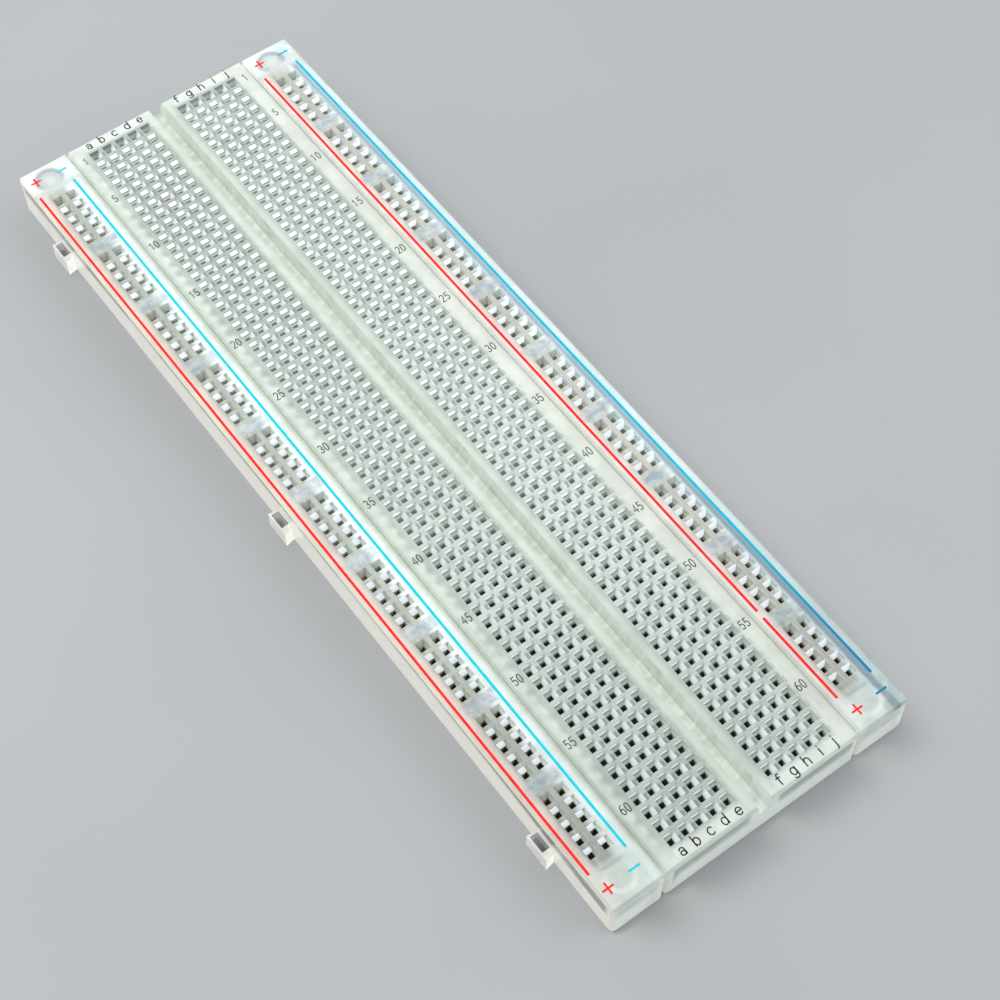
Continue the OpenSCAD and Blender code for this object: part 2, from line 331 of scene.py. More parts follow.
# ---------------------------------------------------------------- plastics
def inner_plastic(name):
    """Clear moulded plastic with a slight milky haze."""
    m = Shader(name)
    slow, scratch, normal = m.wear()
    edge = m.edges()
    rough = m.polish(slow, scratch, low=0.06, high=0.12, edge=edge)
    tint = m.mix(m.ramp(slow, MIDDLE), (0.93, 0.965, 0.945), (0.97, 0.985, 0.965))
    milk = m.mix(m.ramp(slow, WIDE), (0.80, 0.84, 0.80), (0.88, 0.91, 0.87))
    share = m.ramp(m.noise(300.0), WIDE, to=(0.04, 0.16))
    share = m.add(m.add(share, edge, 0.35), scratch, 0.12)
    clear = m.principled(color=tint, rough=rough, normal=normal, ior=1.5, clear=1.0)
    hazy = m.principled(color=milk, rough=rough, normal=normal, ior=1.5)
    return m.light_pass(m.blend(share, clear, hazy))


def rail_top(m, side, x, y, abs_y, slow, cloud, far, body):
    """Tones of a rail's top. Returns the colour, the hole area and the part over the holes."""
    inside = m.ramp(m.add(abs_y, cloud, 1.6), (RAIL_END - 0.2, RAIL_END + 1.9), FALL)
    # solid plastic between the groups of holes: bluish and uneven
    from_group = m.minus(HALF_GROUP, m.abs(m.wrap(y, HALF_GROUP)))
    from_gap = m.minus(HALF_GROUP, from_group)
    from_holes = m.abs(m.minus(x, side * RAIL_X - HOLES_OFF))
    patch = m.times(m.ramp(m.add(from_gap, cloud, 0.9), (1.25, 1.85), FALL),
                    m.ramp(abs_y, (72.0, 74.0), to=(0.85, 0.0)),
                    m.ramp(m.add(from_holes, cloud, 1.4), (2.6, 3.9), FALL))
    uneven = m.ramp(m.noise(480.0, 4.0, rough=0.65), (0.36, 0.68))
    bluish = m.mix(uneven, srgb(212, 220, 221), srgb(162, 178, 190))
    body = m.mix(m.times(patch, inside), body, bluish)
    # the blind screw boss and its pocket, whose ring is painted light at the near end and painted
    # shade at the far end
    radius = m.distance(m.minus(x, side * RAIL_X - 0.55), m.minus(abs_y, 78.7))
    radius = m.add(radius, slow, 0.5)
    ring = m.times(m.band(radius, (1.9, 2.4), (2.7, 3.2)),
                   m.ramp(m.add(abs_y, cloud, 1.0), (77.6, 79.4)))
    ring_light_and_shade = m.mix(far, srgb(236, 243, 236), srgb(160, 173, 180))
    middle = m.mix(m.ramp(m.add(radius, cloud, 0.8), (0.9, 2.2)),
                   srgb(222, 227, 225), srgb(198, 206, 207))
    dome = m.mix(m.ramp(m.add(radius, cloud, 0.5), (2.70, 3.10)), middle,
                 m.color_along(x, FAR_TONES[side]))
    dome = m.mix(m.ramp(m.add(abs_y, cloud, 1.2), (77.0, 78.4), FALL), dome,
                 srgb(210, 217, 215))
    margin = m.mix(far, m.color_along(x, NEAR_TONES[side]), dome)
    if side > 0:
        shard = m.node("TexVoronoi", feature="F1", Scale=420.0, Vector=m.coords())
        tint = m.node("SeparateColor", Color=shard.outputs["Color"]).outputs[0]
        margin = m.mix(m.ramp(tint, (0.1, 0.9), to=(0.0, 0.45)), margin, srgb(238, 244, 242))
    # painted shade: a dark line at the end wall of the contact channel under the skin, strongest
    # at the near end
    bar = m.times(m.band(m.add(abs_y, slow, 0.8), (76.5, 76.95), (77.05, 77.6)),
                  m.times(m.ramp(from_holes, (1.2, 2.6), to=(0.5, 0.0)),
                          m.ramp(far, (0.2, 0.6), to=(1.0, 0.2))))
    margin = m.mix(bar, margin, srgb(150, 164, 164))
    margin = m.mix(m.times(ring, 0.75), margin, ring_light_and_shade)
    body = m.mix(m.minus(1.0, inside), body, margin)
    if side > 0:
        # painted shade: the strip beside the blue line darkens towards the near end
        strip_shade = m.times(m.band(x, (24.3, 24.9), (25.3, 26.0)),
                       m.ramp(y, (0.0, -70.0), to=(0.0, 0.75)))
        body = m.mix(strip_shade, body, srgb(120, 146, 156))
        rim = m.times(m.ramp(x, (25.6, 26.1)), m.ramp(y, (-30.0, -72.0), to=(0.0, 0.85)))
        body = m.mix(m.times(rim, inside), body, srgb(190, 210, 210))
    return body, inside, m.ramp(from_holes, (2.0, 2.6), FALL)


def block_top(m, x, y, abs_y, cloud, far, body):
    """Tones of the block's top. Returns the colour, the hole area and the part over the holes."""
    def over_holes():
        return m.band(m.abs(x), (2.6, 3.2), (14.6, 15.3))

    over = over_holes()
    inside = m.mix(over, m.ramp(m.add(abs_y, cloud, 2.0), (78.0, 84.0), FALL),
                   m.ramp(abs_y, (BLOCK_END - 0.2, BLOCK_END + 0.9), FALL))
    # a pale streak with soft blue-grey dabs, one per row, along the left numbers
    streak = m.noise(500.0, stretch=(1.0, 0.4, 1.0))
    pale = m.ramp(m.add(m.abs(m.plus(x, 16.4)), streak, 2.0), (1.1, 1.9), to=(0.55, 0.0))
    body = m.mix(m.times(pale, inside), body, srgb(232, 240, 232))
    along = m.times(m.plus(m.wrap(y, HALF_PITCH), 0.35), 0.9)
    from_dab = m.distance(m.plus(x, 16.0), along)
    dab = m.times(m.ramp(m.add(from_dab, cloud, 1.1), (0.55, 1.75), to=(0.62, 0.0)),
                  m.ramp(m.noise(60.0, 2.0), (0.3, 0.55), to=(0.5, 1.0)))
    body = m.mix(m.times(dab, inside), body, srgb(160, 176, 182))
    # stripes between rows, a thin rim beside each hole, and beside each hole a grey spot of
    # painted shadow from the rib below
    hole_x, hole_y = m.local(0), m.local(1)
    wobble = m.ramp(m.noise(900.0), WIDE, to=(-0.12, 0.12))
    grey = m.times(m.band(m.plus(hole_x, wobble), (-0.50, -0.28), (0.0, 0.38)),
                   m.band(m.plus(hole_y, wobble), (-1.22, -0.90), (-0.20, 0.25)),
                   m.ramp(far, (0.0, 1.0), to=(0.85, 0.55)))
    stripe = m.ramp(m.abs(hole_y), (0.98, 1.16), to=(0.0, 0.22))
    rim = m.times(m.band(hole_y, (1.00, 1.06), (1.10, 1.17)),
                  m.ramp(m.abs(hole_x), (0.0, 0.4), to=(0.1, 0.45)))
    over_inside = m.times(over, inside)
    for share, color in ((stripe, (208, 217, 207)), (grey, (132, 142, 142)),
                         (rim, (140, 152, 146))):
        body = m.mix(m.times(share, over_inside), body, srgb(*color))
    margin = m.mix(far, m.color_along(x, NEAR_TONES[0]), srgb(224, 232, 224))
    body = m.mix(m.minus(1.0, inside), body, margin)
    return body, inside, over_holes()


def top_plastic(name, side):
    """Top face: half clear over the contacts, milky over the solid margins."""
    m = Shader(name)
    x, y, _ = m.mm()
    abs_y = m.abs(y)
    radius = m.ramp(abs_y, (81.8, 82.1), to=(EDGE_RADIUS, 0.00032))
    slow, scratch, normal = m.wear(radius)
    edge = m.edges(radius)
    cloud = m.noise(210.0, rough=0.6)
    far = m.ramp(y, (-80.0, 80.0))
    body = m.color_along(x, TOP_TONES[side])
    if side:
        body, inside, cells = rail_top(m, side, x, y, abs_y, slow, cloud, far, body)
    else:
        body, inside, cells = block_top(m, x, y, abs_y, cloud, far, body)
    # painted light and shade: darker towards the near end, lifted over the holes, slightly cloudy
    lift = m.mix(m.times(cells, inside),
                 m.mix(inside, (1.06, 1.06, 1.06), (1.0, 1.0, 1.0)),
                 m.color_along(y, RAIL_LIFT if side else BLOCK_LIFT))
    value = m.times(m.ramp(y, (-84.0, -15.0), to=(0.84, 1.0)), lift,
                    m.ramp(cloud, MIDDLE, to=(0.97, 1.03)))
    body = m.node("HueSaturation", Color=body, Value=value).outputs["Color"]
    # painted highlight: paler colour on the edges
    body = m.rub(edge, body, strength=0.6, pale=(0.90, 0.92, 0.89))
    rough = m.polish(slow, scratch, low=0.09, high=0.16, edge=edge)
    tint = m.mix(m.ramp(slow, MIDDLE), (0.92, 0.96, 0.935), (0.965, 0.985, 0.965))
    clear = m.principled(color=tint, rough=rough, normal=normal, ior=1.5, clear=1.0)
    hazy = m.principled(color=body, rough=rough, normal=normal, ior=1.5)
    # milky share: from the table over the holes, 0.88 on the margins
    share = m.plus(m.times(m.color_along(x, HAZE[side]), inside),
                   m.times(m.minus(1.0, inside), 0.88))
    share = m.add(share, m.ramp(cloud, MIDDLE, to=(-0.04, 0.04)), 1.0)
    share = m.add(m.add(share, edge, 0.30), scratch, 0.10)
    return m.light_pass(m.blend(share, clear, hazy))


def side_plastic(name, side, glow=0.10):
    """Outer walls: milky, with the shade at the top of the hollow behind them painted as a grey
    band, and a slight glow of painted light.
    """
    m = Shader(name)
    x, y, z = m.mm()
    abs_y = m.abs(y)
    radius = m.times(m.ramp(abs_y, (81.4, 81.8), to=(0.00010, 0.00034)),
                     m.ramp(z, (6.0, 7.6), to=(0.4, 1.0)))
    slow, scratch, normal = m.wear(radius)
    edge = m.edges(radius)
    cloud = m.noise(260.0, rough=0.6)
    ends = m.ramp(abs_y, (82.1, 82.3))
    from_axis = m.minus(x, side * RAIL_X - HOLES_OFF if side else 0.0)
    abs_x = m.abs(from_axis)
    height = m.add(z, cloud, 0.5)
    # painted shade band on the long walls; its lower rim changes height along Y
    rim = m.plus(m.ramp(y, (-82.0, -50.0), to=(4.9, 6.7)),
                 m.ramp(y, (30.0, 75.0), to=(0.0, -1.2)))
    long_band = m.times(m.ramp(m.minus(height, rim), (0.0, 1.3)),
                        m.ramp(height, (7.85, 8.5), FALL), m.ramp(abs_y, (80.4, 81.8), FALL))
    # painted shade band on the end walls; its lower rim drops near the -X corner
    if side:
        across = m.ramp(abs_x, (3.2, 4.3), FALL)
    else:
        across = m.band(abs_x, (2.2, 3.2), (16.0, 17.0))
    curl = m.times(m.ramp(from_axis, (-3.4, -4.2) if side else (-15.6, -16.4)), 1.6)
    end_band = m.times(m.ramp(m.add(height, curl, 1.0), (4.3, 6.9)),
                       m.ramp(height, (7.9, 8.5), FALL), across)
    dark = m.plus(m.times(long_band, m.minus(1.0, ends)), m.times(end_band, ends))
    uneven_shade = m.ramp(m.noise(130.0, 4.0, rough=0.6, stretch=(1.0, 0.5, 1.0)), (0.32, 0.62),
                  to=(0.35 if side else 0.75, 1.0))
    dark = m.times(dark, m.ramp(ends, (0.0, 1.0), to=(1.0, 0.6 if side else 1.0)), uneven_shade)
    color = m.mix(m.ramp(cloud, MIDDLE), (0.93, 0.90, 0.80), (0.84, 0.83, 0.75))
    color = m.mix(ends, color, (0.80, 0.86, 0.79))
    color = m.mix(dark, color, m.mix(ends, (0.25, 0.24, 0.20), (0.36, 0.41, 0.36)))
    # painted highlight: paler colour on the edges
    color = m.rub(edge, color, strength=0.5, pale=(0.95, 0.95, 0.92))
    rough = m.polish(slow, scratch, low=0.16, high=0.24)
    # painted light: the walls glow in their own colour, more on the end walls
    hazy = m.principled(color=color, rough=rough, normal=normal, ior=1.5, glow=color,
                        power=m.ramp(ends, (0.0, 1.0), to=(glow, glow + 0.10)))
    clear = m.principled(color=(0.95, 0.97, 0.95), rough=rough, normal=normal, ior=1.5,
                         clear=1.0)
    share = m.add(m.ramp(cloud, WIDE, to=(0.80, 0.92)), edge, 0.1)
    return m.light_pass(m.blend(share, clear, hazy))


def lug_plastic(name):
    """Joining lugs: a window in the top is painted dark, as the shade behind it; the near-facing
    faces are painted pale and glow, as painted light.
    """
    m = Shader(name)
    slow, scratch, normal = m.wear()
    x, y, _ = m.mm()
    facing = m.geometry("Normal")
    up = m.ramp(facing[2], (0.5, 0.8))
    front = m.ramp(facing[1], (-0.8, -0.5), FALL)
    along = m.wrap(y, 33.6)
    window = m.times(m.band(m.add(along, slow, 0.3), (-1.0, -0.75), (2.0, 2.3)),
                     m.ramp(x, (-28.75, -28.5)))
    dark = m.mix(m.ramp(along, (-1.0, 2.2)), (0.07, 0.07, 0.09), (0.20, 0.20, 0.22))
    color = m.mix(slow, (0.86, 0.83, 0.74), (0.92, 0.90, 0.83))
    color = m.mix(m.times(up, window), color, dark)
    color = m.mix(front, color, (0.97, 0.97, 0.93))
    # painted highlight: paler colour on the edges
    color = m.rub(m.edges(), color, strength=0.6, pale=(0.95, 0.95, 0.93))
    hazy = m.principled(color=color, rough=m.polish(slow, scratch, low=0.10, high=0.18),
                        normal=normal, ior=1.5, glow=color,
                        power=m.ramp(front, (0.0, 1.0), to=(0.06, 0.62)))
    clear = m.principled(rough=0.08, normal=normal, ior=1.5, clear=1.0)
    return m.light_pass(m.blend(0.8, clear, hazy))


def channel_plastic(name):
    """Centre channel: soft grey-green with lighter streaks from the row walls behind it, and a
    slight glow of painted light.
    """
    m = Shader(name)
    slow, scratch, normal = m.wear()
    x = m.mm()[0]
    streak = m.noise(420.0, 4.0, rough=0.65, stretch=(1.0, 0.6, 1.0))
    row = m.band(m.add(m.local(1), streak, 0.9), (-0.1, 0.35), (0.6, 1.1))
    row = m.times(row, m.ramp(x, (-0.6, 0.4), to=(0.05, 0.30)))
    light = m.ramp(streak, (0.42, 0.66), to=(0.0, 0.45))
    dark = m.ramp(streak, (0.30, 0.46), to=(0.35, 0.0))
    color = m.color_along(x, CHANNEL_TONES)
    for share, tone in ((row, (236, 240, 234)), (light, (232, 236, 230)),
                        (dark, (160, 172, 164))):
        color = m.mix(share, color, srgb(*tone))
    hazy = m.principled(color=color, rough=m.polish(slow, scratch, low=0.12, high=0.2),
                        normal=normal, ior=1.5, glow=color, power=0.16)
    clear = m.principled(rough=0.1, normal=normal, ior=1.5, clear=1.0)
    return m.light_pass(m.blend(0.88, clear, hazy))


def frosted(name, low, high, rough=0.4, stops=None, amount=0.5):
    """Inner faces as a frosted surface. stops are (z in mm, brightness), light and shade painted
    by height.
    """
    m = Shader(name)
    vec = m.coords()
    slow = m.noise(160.0, 2.0, vec=vec)
    fine = m.noise(1800.0, vec=vec)
    color = m.mix(m.ramp(slow, WIDE), low, high)
    if stops:
        color = m.mix(1.0, color, m.color_along(m.mm()[2], stops), blend="MULTIPLY")
    shader = m.principled(color=color, rough=m.ramp(fine, WIDE, to=(rough - 0.1, rough + 0.1)),
                          normal=m.bump(fine, distance=0.00002, strength=0.4), ior=1.45)
    return m.light_pass(shader, amount)


def lead_in_surface(m, color, fine, glow=None):
    """Shared end of the lead-in walls: at a grazing view they turn plain and their glow of painted
    light goes out.
    """
    color = m.mix(m.view(GRAZING, 0.8, 0.0), color, (0.56, 0.62, 0.59))
    inputs = {}
    if glow is not None:
        inputs = dict(glow=color, power=m.times(glow, m.view(GRAZING, 0.0, 1.0)))
    shader = m.principled(color=color, rough=m.ramp(fine, WIDE, to=(0.15, 0.3)),
                          normal=m.bump(fine, distance=0.00001, strength=0.4), ior=1.45,
                          **inputs)
    return m.light_pass(shader, 0.5)


def lit_wall(name, axis, shift, end, glow, hold, away, mouth_z=None):
    """Lead-in wall beside a rib, with the light caught in the rib painted on it as a bright,
    glowing block that fades along it.

    end: where the block fades; hold: share of the glow kept at a steep view; away: colour past
    the block; mouth_z: height below which the contact mouth shows as painted shade.
    """
    m = Shader(name)
    slow = m.noise(500.0)
    fine = m.noise(2600.0)
    along = m.add(m.upright(m.local(axis, shift)), slow, 0.12)
    color = m.mix(m.ramp(slow, WIDE), (0.90, 0.93, 0.98), (0.82, 0.87, 0.93))
    if mouth_z:
        past = m.ramp(along, (end, end + 0.34))
    else:
        past = m.ramp(m.add(along, m.view(STEEP, 0.16, -0.03), 1.0), (end, end + 0.40))
    color = m.mix(past, color, away)
    if mouth_z:
        height = m.add(m.mm()[2], slow, 0.15)
        below = m.ramp(m.minus(height, m.view(STEEP, mouth_z, 7.15)), (-0.12, 0.14), FALL)
        # painted shade of the contact mouth
        mouth = m.mix(m.ramp(m.add(along, slow, 0.2), (-0.45, 0.05)),
                      (0.24, 0.23, 0.15), (0.60, 0.64, 0.52))
        color = m.mix(below, color, mouth)
        past = m.math("MAXIMUM", past, below)
    strength = m.times(m.ramp(past, (0.0, 1.0), FALL), m.view(STEEP, glow, glow * hold))
    return lead_in_surface(m, color, fine, strength)


def line_wall(name, axis, shift, glow=0.0, away=None, stops=None):
    """Lead-in wall with a painted highlight line under the rim that widens at a lower view,
    and painted shade just below it; the wall is paler at a lower view, and with glow it glows as
    painted light.

    With stops it takes its tone from them along X, and has no highlight line and less shade.
    """
    m = Shader(name)
    slow = m.noise(500.0)
    fine = m.noise(2600.0)
    x, _, z = m.mm()
    height = m.add(m.minus(z, m.view(STEEP, 7.84, 8.20)), slow, 0.06)
    if stops:
        base = m.color_along(x, stops)
        line = away = base
    else:
        line = (0.97, 0.98, 1.0)
        base = m.mix(m.ramp(slow, WIDE), (0.54, 0.60, 0.56), (0.48, 0.53, 0.50))
        base = m.mix(m.view(STEEP, 0.0, 1.0), (0.78, 0.81, 0.73), base)
        base = m.mix(m.ramp(m.add(z, slow, 0.25), (7.65, 7.95)), (0.72, 0.79, 0.73), base)
    dark = m.mix(m.ramp(height, (-0.30, -0.10), to=(0.0, 0.55 if stops else 1.0)), base,
                 (0.22, 0.23, 0.27))
    line_span = (-0.06, 0.03)
    color = m.mix(m.ramp(height, line_span), dark, line)
    past = m.ramp(m.add(m.upright(m.local(axis, shift)), slow, 0.12), (0.22, 0.55))
    color = m.mix(past, color, away)
    strength = None
    if glow:
        strength = m.times(m.ramp(height, line_span), m.minus(1.0, past),
                           m.view(STEEP, glow, glow * 0.2))
        strength = m.plus(strength, m.view(STEEP, 0.26, 0.03))
    return lead_in_surface(m, color, fine, strength)


# ---------------------------------------------------------------- metal, tape, ink, floor
def spring_metal(name):
    """Rolled spring strip with a nickel plating: fine drawn lines and warm tarnish."""
    m = Shader(name)
    blot = m.noise(420.0)
    lines = m.noise(5200.0, rough=0.6, stretch=(1.0, 1.0, 0.06))
    color = m.mix(m.ramp(blot, (0.35, 0.7)), (0.60, 0.59, 0.54), (0.47, 0.45, 0.38))
    return m.surface(m.principled(color=color, metal=1.0,
                                  rough=m.ramp(lines, WIDE, to=(0.28, 0.46)),
                                  normal=m.bump(lines, distance=0.00001, strength=0.5)))


def throat_metal(name):
    """Inside of the contact mouths: painted light on the lips, painted shade further down; the
    height between them moves with the view.
    """
    m = Shader(name)
    blot = m.noise(900.0)
    lines = m.noise(5200.0, rough=0.6, stretch=(1.0, 1.0, 0.06))
    height = m.minus(m.add(m.mm()[2], blot, 0.35), m.view(STEEP, 5.25, 6.72))
    color = m.mix(m.ramp(height, (-0.12, 0.34)), (0.040, 0.036, 0.024), (0.62, 0.59, 0.50))
    return m.surface(m.principled(color=color, metal=0.8,
                                  rough=m.ramp(lines, WIDE, to=(0.38, 0.55)),
                                  normal=m.bump(lines, distance=0.00001, strength=0.5)))


def foam_tape(name):
    """White closed-cell foam: small cells, soft and matte."""
    m = Shader(name)
    vec = m.coords()
    cells = m.node("TexVoronoi", feature="DISTANCE_TO_EDGE", Scale=4200.0, Vector=vec)
    tone = m.noise(260.0, vec=vec)
    normal = m.bump(cells.outputs["Distance"], distance=0.00008, strength=0.6)
    color = m.mix(m.ramp(tone, WIDE), (0.93, 0.93, 0.90), (0.86, 0.86, 0.82))
    return m.surface(m.principled(color=color, rough=0.85, normal=normal))


def release_paper(name):
    """Waxed release paper: faint fibres and a slight sheen."""
    m = Shader(name)
    fibres = m.noise(1800.0, 5.0, rough=0.65, stretch=(1.0, 0.3, 1.0))
    tone = m.noise(120.0, 2.0)
    color = m.mix(m.ramp(tone, WIDE), (0.86, 0.82, 0.70), (0.80, 0.76, 0.63))
    return m.surface(m.principled(color=color, rough=m.ramp(fibres, WIDE, to=(0.35, 0.55)),
                                  normal=m.bump(fibres, distance=0.00002, strength=0.4)))


def ink(name, low, high, near_end_shade=None):
    """Screen-printed ink: slight density changes and a soft gloss."""
    m = Shader(name)
    vec = m.coords()
    density = m.noise(700.0, 4.0, rough=0.6, vec=vec)
    grain = m.noise(6000.0, 2.0, vec=vec)
    color = m.mix(m.ramp(density, (0.35, 0.68)), low, high)
    if near_end_shade:
        # painted shade: the ink darkens towards the near end
        color = m.mix(m.ramp(m.mm()[1], (-76.0, -38.0)), near_end_shade, color)
    return m.surface(m.principled(color=color, specular=0.25,
                                  rough=m.ramp(grain, WIDE, to=(0.34, 0.54)),
                                  normal=m.bump(grain, distance=0.00001, strength=0.5)))


def floor_paint(name):
    m = Shader(name)
    color = m.mix(m.ramp(m.noise(8.0), WIDE), (0.40, 0.41, 0.42), (0.43, 0.44, 0.45))
    return m.surface(m.principled(color=color, rough=0.55))


TOPS = {0: top_plastic("plastic_top", 0),
        -1: top_plastic("plastic_top_left_rail", -1),
        1: top_plastic("plastic_top_right_rail", 1)}
WALLS = {0: side_plastic("plastic_side", 0),
         -1: side_plastic("plastic_side_left_rail", -1, glow=0.14),
         1: side_plastic("plastic_side_right_rail", 1)}
LUG = lug_plastic("plastic_lug")
INNER = inner_plastic("plastic_inner")
CHANNEL = channel_plastic("plastic_channel")
RIB = frosted("plastic_rib", (0.56, 0.62, 0.57), (0.47, 0.52, 0.48))
RAIL_SHIFT = 0.92                     # rail hole centres along X, from a multiple of the pitch
LIT_X = lit_wall("plastic_lead_in_rib_x", axis=1, shift=0.0, end=0.16, glow=0.10, hold=0.3,
                 away=(0.60, 0.70, 0.64))
LIT_Y = lit_wall("plastic_lead_in_rib_y", axis=0, shift=RAIL_SHIFT, end=0.42, glow=0.50,
                 hold=0.7, away=(0.62, 0.66, 0.60), mouth_z=7.62)
LINE_Y = line_wall("plastic_lead_in_line_y", axis=0, shift=HALF_PITCH, glow=0.45,
                   away=(0.60, 0.70, 0.63))
# painted shade: the far lead-in walls of the last row are dim, lighter lower down
DUSK = frosted("plastic_lead_in_end", (0.26, 0.30, 0.30), (0.38, 0.42, 0.41), rough=0.25,
               stops=[(7.0, 1.9), (7.7, 1.8), (7.95, 1.25), (8.15, 0.8), (8.6, 0.9)])
PALE = (0.56, 0.64, 0.58)
LINES_X = {side: line_wall("plastic_lead_in_line_x" + ending, axis=1, shift=0.0, stops=stops)
           for side, ending, stops in ((0, "", [(-BLOCK_HALF, PALE), (BLOCK_HALF, PALE)]),
                                       (-1, "_left", TOP_TONES[-1]),
                                       (1, "_right", TOP_TONES[1]))}
LINE_Y_RAIL = line_wall("plastic_lead_in_line_y_rail", axis=0, shift=RAIL_SHIFT, glow=0.30,
                        away=(0.56, 0.58, 0.52))
ROW = frosted("plastic_row_wall", (0.66, 0.72, 0.67), (0.56, 0.61, 0.57))
# the stops paint a band of shade high in the hollows
HOLLOW = frosted("plastic_hollow", (0.86, 0.86, 0.82), (0.80, 0.81, 0.77),
                 stops=[(1.0, 1.05), (3.5, 1.0), (4.6, 0.8), (5.6, 0.42), (6.4, 0.38), (7.0, 0.6)])
BASE = frosted("plastic_underside", (0.93, 0.94, 0.90), (0.86, 0.88, 0.84), amount=0.3)
METAL = spring_metal("spring_metal_plated")
THROAT = throat_metal("spring_metal_throat")
FOAM = foam_tape("foam_tape_white")
PAPER = release_paper("release_paper_waxed")
RED = ink("ink_red", (0.86, 0.012, 0.014), (0.93, 0.030, 0.026))
BLUE_LEFT = ink("ink_blue_left", (0.0, 0.56, 0.66), (0.0, 0.66, 0.74))
BLUE_RIGHT = ink("ink_blue_right", (0.0, 0.42, 0.62), (0.0, 0.50, 0.70),
                 near_end_shade=(0.0, 0.20, 0.38))
DARK = ink("ink_dark", (0.030, 0.030, 0.026), (0.06, 0.058, 0.05))

# ---------------------------------------------------------------- materials on the CAD pieces
SLOTS = ("skin", "wall", "inner", "channel", "rib", "lit_x", "lit_y", "line_y", "line_x",
         "row", "hollow", "base", "lug", "dusk")


def housing_materials(side):
    """The materials of one housing, in the order of SLOTS."""
    return (TOPS[side], WALLS[side], INNER, CHANNEL, RIB, LIT_X, LIT_Y,
            LINE_Y_RAIL if side else LINE_Y, LINES_X[side], ROW, HOLLOW, BASE, LUG, DUSK)


def hole_at(value, centres):
    """Index of the hole centre within 1 mm of value, or None."""
    return next((i for i, centre in enumerate(centres) if abs(centre - value) < 1.0), None)


def lead_in_slot(side, x, y, from_axis, normal):
    """Slot of a sloping face in a hole's lead-in. Ribs lie between holes of a group of five."""
    if side:
        hole = hole_at(y, RAIL_HOLES)
        if abs(normal.y) > 0.3 and hole is not None:
            place = hole % 5
            beyond = y > RAIL_HOLES[hole]
            if beyond and place == 4:
                return "line_x"
            return "lit_y" if beyond or place > 0 else "line_y"
        if abs(normal.x) > 0.3 and abs(from_axis) < 3.0:
            return "line_x"
        return "skin"
    hole = hole_at(x, COLUMNS)
    if abs(normal.x) > 0.3 and abs(x) > 2.0 and hole is not None:
        place = hole % 5
        beside_rib = place < 4 if x > COLUMNS[hole] else place > 0
        return "lit_x" if beside_rib else "line_x"
    if abs(normal.y) > 0.3 and abs(y) < 80:
        return "dusk" if y > 79.0 else "line_y"
    return "channel" if abs(x) < 2.0 else "skin"


def housing_slot(side, centre, normal):
    """Which surface of a housing a face belongs to, from its centre in mm and its normal."""
    x, y, z = centre
    from_axis = x - math.copysign(RAIL_X, x) if side else x
    half = RAIL_HALF if side else BLOCK_HALF
    if z > TOP_MM - 0.02 and normal.z > 0.9:
        return "skin"
    if from_axis < -half - 0.02 and z < 4.3:
        return "lug"
    corner = abs(from_axis) > half - 1.0 and abs(y) > 81.6 and z < 8.2
    if abs(y) > 82.5 or abs(from_axis) > half - 0.02 or corner:
        return "wall"
    if z < 1.05 and normal.z < -0.9:
        return "base"
    if z > 7.2 and 0.1 < abs(normal.z) < 0.95:
        return lead_in_slot(side, x, y, from_axis, normal)
    if not side and abs(x) < 1.45 and z > 5.85:
        return "channel"
    if normal.z < -0.9 and z > 6.9:
        return "inner"
    if side:
        in_cells = abs(from_axis) < 3.0 and abs(y) < RAIL_END
        rib_facing = abs(normal.y)
    else:
        in_cells = 2.5 < abs(x) < 15.3 and abs(y) < 79.9
        rib_facing = abs(normal.x)
    if not in_cells:
        return "hollow"
    return "rib" if (z > 2.5 and rib_facing > 0.9) or abs(z - 2.6) < 0.05 else "row"


def in_throat(is_strip, centre, normal):
    """True for leaf faces that look into the gap of a contact."""
    if is_strip:
        middle = math.copysign(RAIL_X, centre.x) - HOLES_OFF
        middle += math.copysign(HALF_PITCH, centre.x - middle)
        offset, facing = centre.x - middle, normal.x
    else:
        offset = (centre.y / PITCH - round(centre.y / PITCH)) * PITCH
        facing = normal.y
    return offset * facing < 0 and abs(facing) > 0.3 and centre.z > 1.3


def paint(obj, materials, slot_of=None):
    """Gives obj the materials; slot_of picks one for each face."""
    mesh = obj.data
    mesh.materials.clear()
    for material in materials:
        mesh.materials.append(material)
    if slot_of:
        matrix = obj.matrix_world
        turn = matrix.to_3x3()
        for face in mesh.polygons:
            centre = (matrix @ face.center) * 1000.0
            face.material_index = slot_of(centre, (turn @ face.normal).normalized())


for name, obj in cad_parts.items():
    if "contacts" in name or "strip" in name:
        strip = "strip" in name
        paint(obj, (METAL, THROAT), lambda c, n: int(in_throat(strip, c, n)))
    elif "housing" in name:
        side = 0
        if "rail" in name:
            side = -1 if "left" in obj.name else 1
        paint(obj, housing_materials(side), lambda c, n: SLOTS.index(housing_slot(side, c, n)))
    else:
        paint(obj, (FOAM if "foam" in name else PAPER,))

# ---------------------------------------------------------------- printed marks
INK_HEIGHT = 0.02


